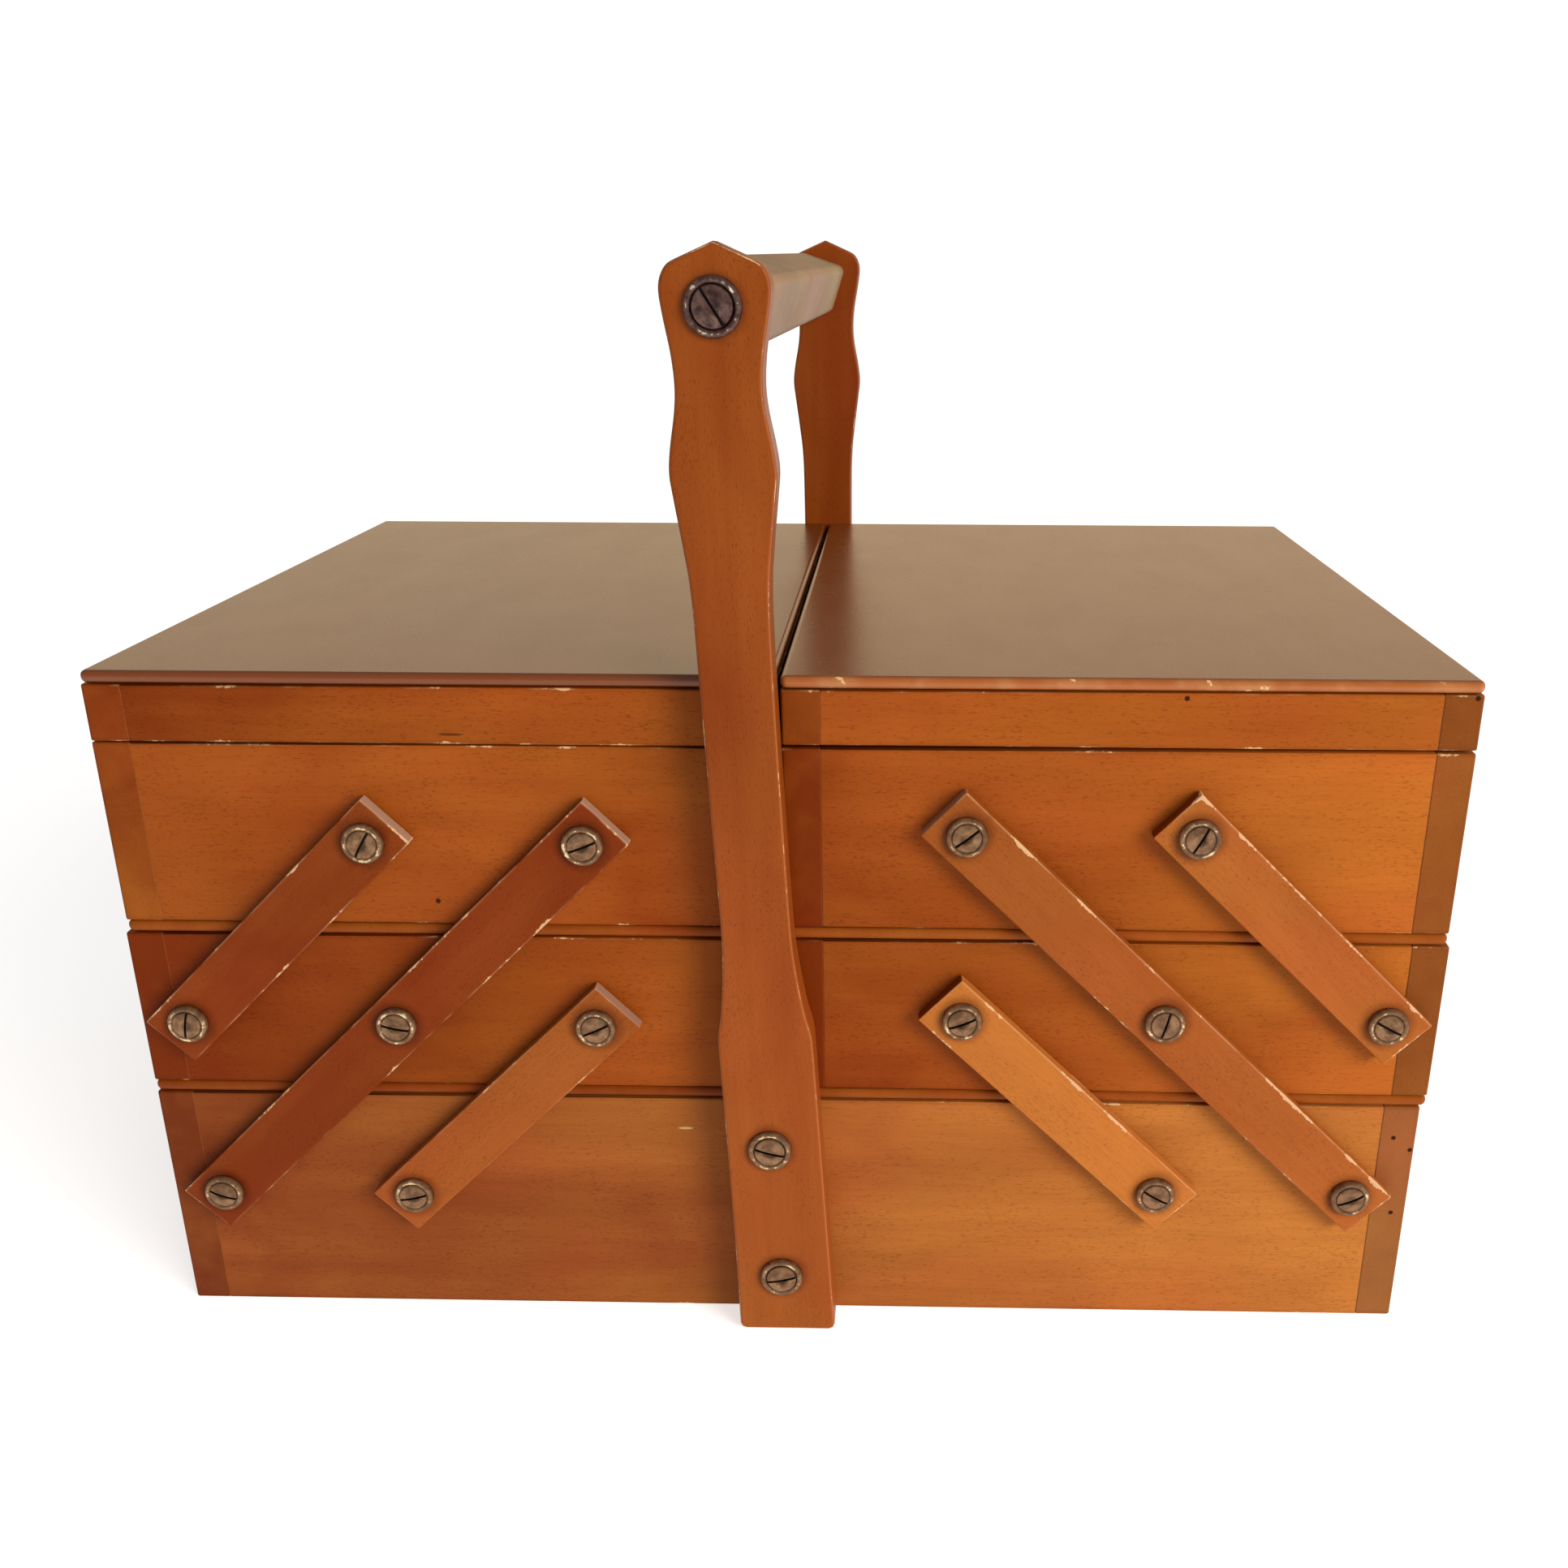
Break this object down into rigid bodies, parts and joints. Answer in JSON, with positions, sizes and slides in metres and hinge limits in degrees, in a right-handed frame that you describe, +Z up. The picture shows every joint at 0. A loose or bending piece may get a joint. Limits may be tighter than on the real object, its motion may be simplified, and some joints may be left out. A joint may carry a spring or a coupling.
{
  "type": "sewing box",
  "caption": "Wooden cantilever sewing box with tiers of trays on parallel arms, lidded upper trays and a fixed central carrying handle.",
  "frame": {"origin": "middle of the underside, on the surface that the box stands on", "axes": "+X to the right along the long side, +Y from the front to the back, +Z up"},
  "size_m": [0.4278, 0.3076, 0.3506],
  "materials": {
    "board_wood": "orange-brown stained beech boards with satin varnish and fine flecks",
    "panel_wood": "stained beech panel with a glossier varnish and rounded, slightly worn edges",
    "arm_wood": "stained beech strip, arrises worn pale",
    "bar_wood": "grip bar with the varnish worn off to grey-beige bare wood",
    "plywood": "thin light plywood, unvarnished",
    "screw_bronze": "tarnished brown slotted screws in cup washers, rims rubbed bright",
    "hinge_brass": "aged brass hinge strip"
  },
  "bodies": {
    "base": {"base_carcass": "board_wood", "base_bottom": "plywood", "handle_front_arm": "arm_wood", "handle_rear_arm": "arm_wood", "handle_bar": "bar_wood", "left_front_base_outer_screw": "screw_bronze", "left_rear_base_outer_screw": "screw_bronze", "left_front_base_inner_screw": "screw_bronze", "left_rear_base_inner_screw": "screw_bronze", "right_front_base_outer_screw": "screw_bronze", "right_rear_base_outer_screw": "screw_bronze", "right_front_base_inner_screw": "screw_bronze", "right_rear_base_inner_screw": "screw_bronze"},
    "left_long_arms": {"left_front_long_arm": "arm_wood", "left_rear_long_arm": "arm_wood"},
    "left_lower_arms": {"left_front_lower_arm": "arm_wood", "left_rear_lower_arm": "arm_wood"},
    "left_upper_arms": {"left_front_upper_arm": "arm_wood", "left_rear_upper_arm": "arm_wood"},
    "left_middle_tray": {"left_middle_tray_carcass": "board_wood", "left_middle_tray_bottom": "panel_wood", "left_front_middle_outer_screw": "screw_bronze", "left_rear_middle_outer_screw": "screw_bronze", "left_front_middle_centre_screw": "screw_bronze", "left_rear_middle_centre_screw": "screw_bronze", "left_front_middle_inner_screw": "screw_bronze", "left_rear_middle_inner_screw": "screw_bronze"},
    "left_upper_tray": {"left_upper_tray_carcass": "board_wood", "left_upper_tray_bottom": "panel_wood", "left_hinge_tray_leaf": "hinge_brass", "left_front_upper_outer_screw": "screw_bronze", "left_rear_upper_outer_screw": "screw_bronze", "left_front_upper_inner_screw": "screw_bronze", "left_rear_upper_inner_screw": "screw_bronze"},
    "left_lid": {"left_lid": "panel_wood", "left_hinge_lid_leaf": "hinge_brass"},
    "right_long_arms": {"right_front_long_arm": "arm_wood", "right_rear_long_arm": "arm_wood"},
    "right_lower_arms": {"right_front_lower_arm": "arm_wood", "right_rear_lower_arm": "arm_wood"},
    "right_upper_arms": {"right_front_upper_arm": "arm_wood", "right_rear_upper_arm": "arm_wood"},
    "right_middle_tray": {"right_middle_tray_carcass": "board_wood", "right_middle_tray_bottom": "panel_wood", "right_front_middle_outer_screw": "screw_bronze", "right_rear_middle_outer_screw": "screw_bronze", "right_front_middle_centre_screw": "screw_bronze", "right_rear_middle_centre_screw": "screw_bronze", "right_front_middle_inner_screw": "screw_bronze", "right_rear_middle_inner_screw": "screw_bronze"},
    "right_upper_tray": {"right_upper_tray_carcass": "board_wood", "right_upper_tray_bottom": "panel_wood", "right_hinge_tray_leaf": "hinge_brass", "right_front_upper_outer_screw": "screw_bronze", "right_rear_upper_outer_screw": "screw_bronze", "right_front_upper_inner_screw": "screw_bronze", "right_rear_upper_inner_screw": "screw_bronze"},
    "right_lid": {"right_lid": "panel_wood", "right_hinge_lid_leaf": "hinge_brass"}
  },
  "joints": [
    {"name": "left_opening", "type": "hinge", "parent": "base", "child": "left_long_arms", "pos_m": [-0.1908, 0, 0.0478], "axis": [0, -1, 0], "range_deg": [0, 91.4]},
    {"name": "left_middle_tray_pivot", "type": "hinge", "parent": "left_long_arms", "child": "left_middle_tray", "pos_m": [-0.12496, 0, 0.11205], "axis": [0, -1, 0], "range_deg": [-91.4, 0]},
    {"name": "left_upper_tray_pivot", "type": "hinge", "parent": "left_long_arms", "child": "left_upper_tray", "pos_m": [-0.0604, 0, 0.17505], "axis": [0, -1, 0], "range_deg": [-91.4, 0]},
    {"name": "left_lower_arms_pivot", "type": "hinge", "parent": "base", "child": "left_lower_arms", "pos_m": [-0.1262, 0, 0.0478], "axis": [0, -1, 0], "range_deg": [0, 91.4]},
    {"name": "left_upper_arms_pivot", "type": "hinge", "parent": "left_middle_tray", "child": "left_upper_arms", "pos_m": [-0.1927, 0, 0.11205], "axis": [0, -1, 0], "range_deg": [0, 91.4]},
    {"name": "left_lid_hinge", "type": "hinge", "parent": "left_upper_tray", "child": "left_lid", "pos_m": [-0.2121, 0, 0.2051], "axis": [0, -1, 0], "range_deg": [0, 180]},
    {"name": "right_opening", "type": "hinge", "parent": "base", "child": "right_long_arms", "pos_m": [0.1878, 0, 0.0518], "axis": [0, 1, 0], "range_deg": [0, 91.4]},
    {"name": "right_middle_tray_pivot", "type": "hinge", "parent": "right_long_arms", "child": "right_middle_tray", "pos_m": [0.12196, 0, 0.11605], "axis": [0, 1, 0], "range_deg": [-91.4, 0]},
    {"name": "right_upper_tray_pivot", "type": "hinge", "parent": "right_long_arms", "child": "right_upper_tray", "pos_m": [0.0574, 0, 0.17905], "axis": [0, 1, 0], "range_deg": [-91.4, 0]},
    {"name": "right_lower_arms_pivot", "type": "hinge", "parent": "base", "child": "right_lower_arms", "pos_m": [0.1232, 0, 0.0518], "axis": [0, 1, 0], "range_deg": [0, 91.4]},
    {"name": "right_upper_arms_pivot", "type": "hinge", "parent": "right_middle_tray", "child": "right_upper_arms", "pos_m": [0.1927, 0, 0.11605], "axis": [0, 1, 0], "range_deg": [0, 91.4]},
    {"name": "right_lid_hinge", "type": "hinge", "parent": "right_upper_tray", "child": "right_lid", "pos_m": [0.2121, 0, 0.2054], "axis": [0, 1, 0], "range_deg": [0, 180]}
  ],
  "couplings": [
    {"joint": "left_middle_tray_pivot", "follows": "left_opening", "ratio": -1},
    {"joint": "left_upper_tray_pivot", "follows": "left_opening", "ratio": -1},
    {"joint": "left_lower_arms_pivot", "follows": "left_opening", "ratio": 1},
    {"joint": "left_upper_arms_pivot", "follows": "left_opening", "ratio": 1},
    {"joint": "right_middle_tray_pivot", "follows": "right_opening", "ratio": -1},
    {"joint": "right_upper_tray_pivot", "follows": "right_opening", "ratio": -1},
    {"joint": "right_lower_arms_pivot", "follows": "right_opening", "ratio": 1},
    {"joint": "right_upper_arms_pivot", "follows": "right_opening", "ratio": 1}
  ]
}
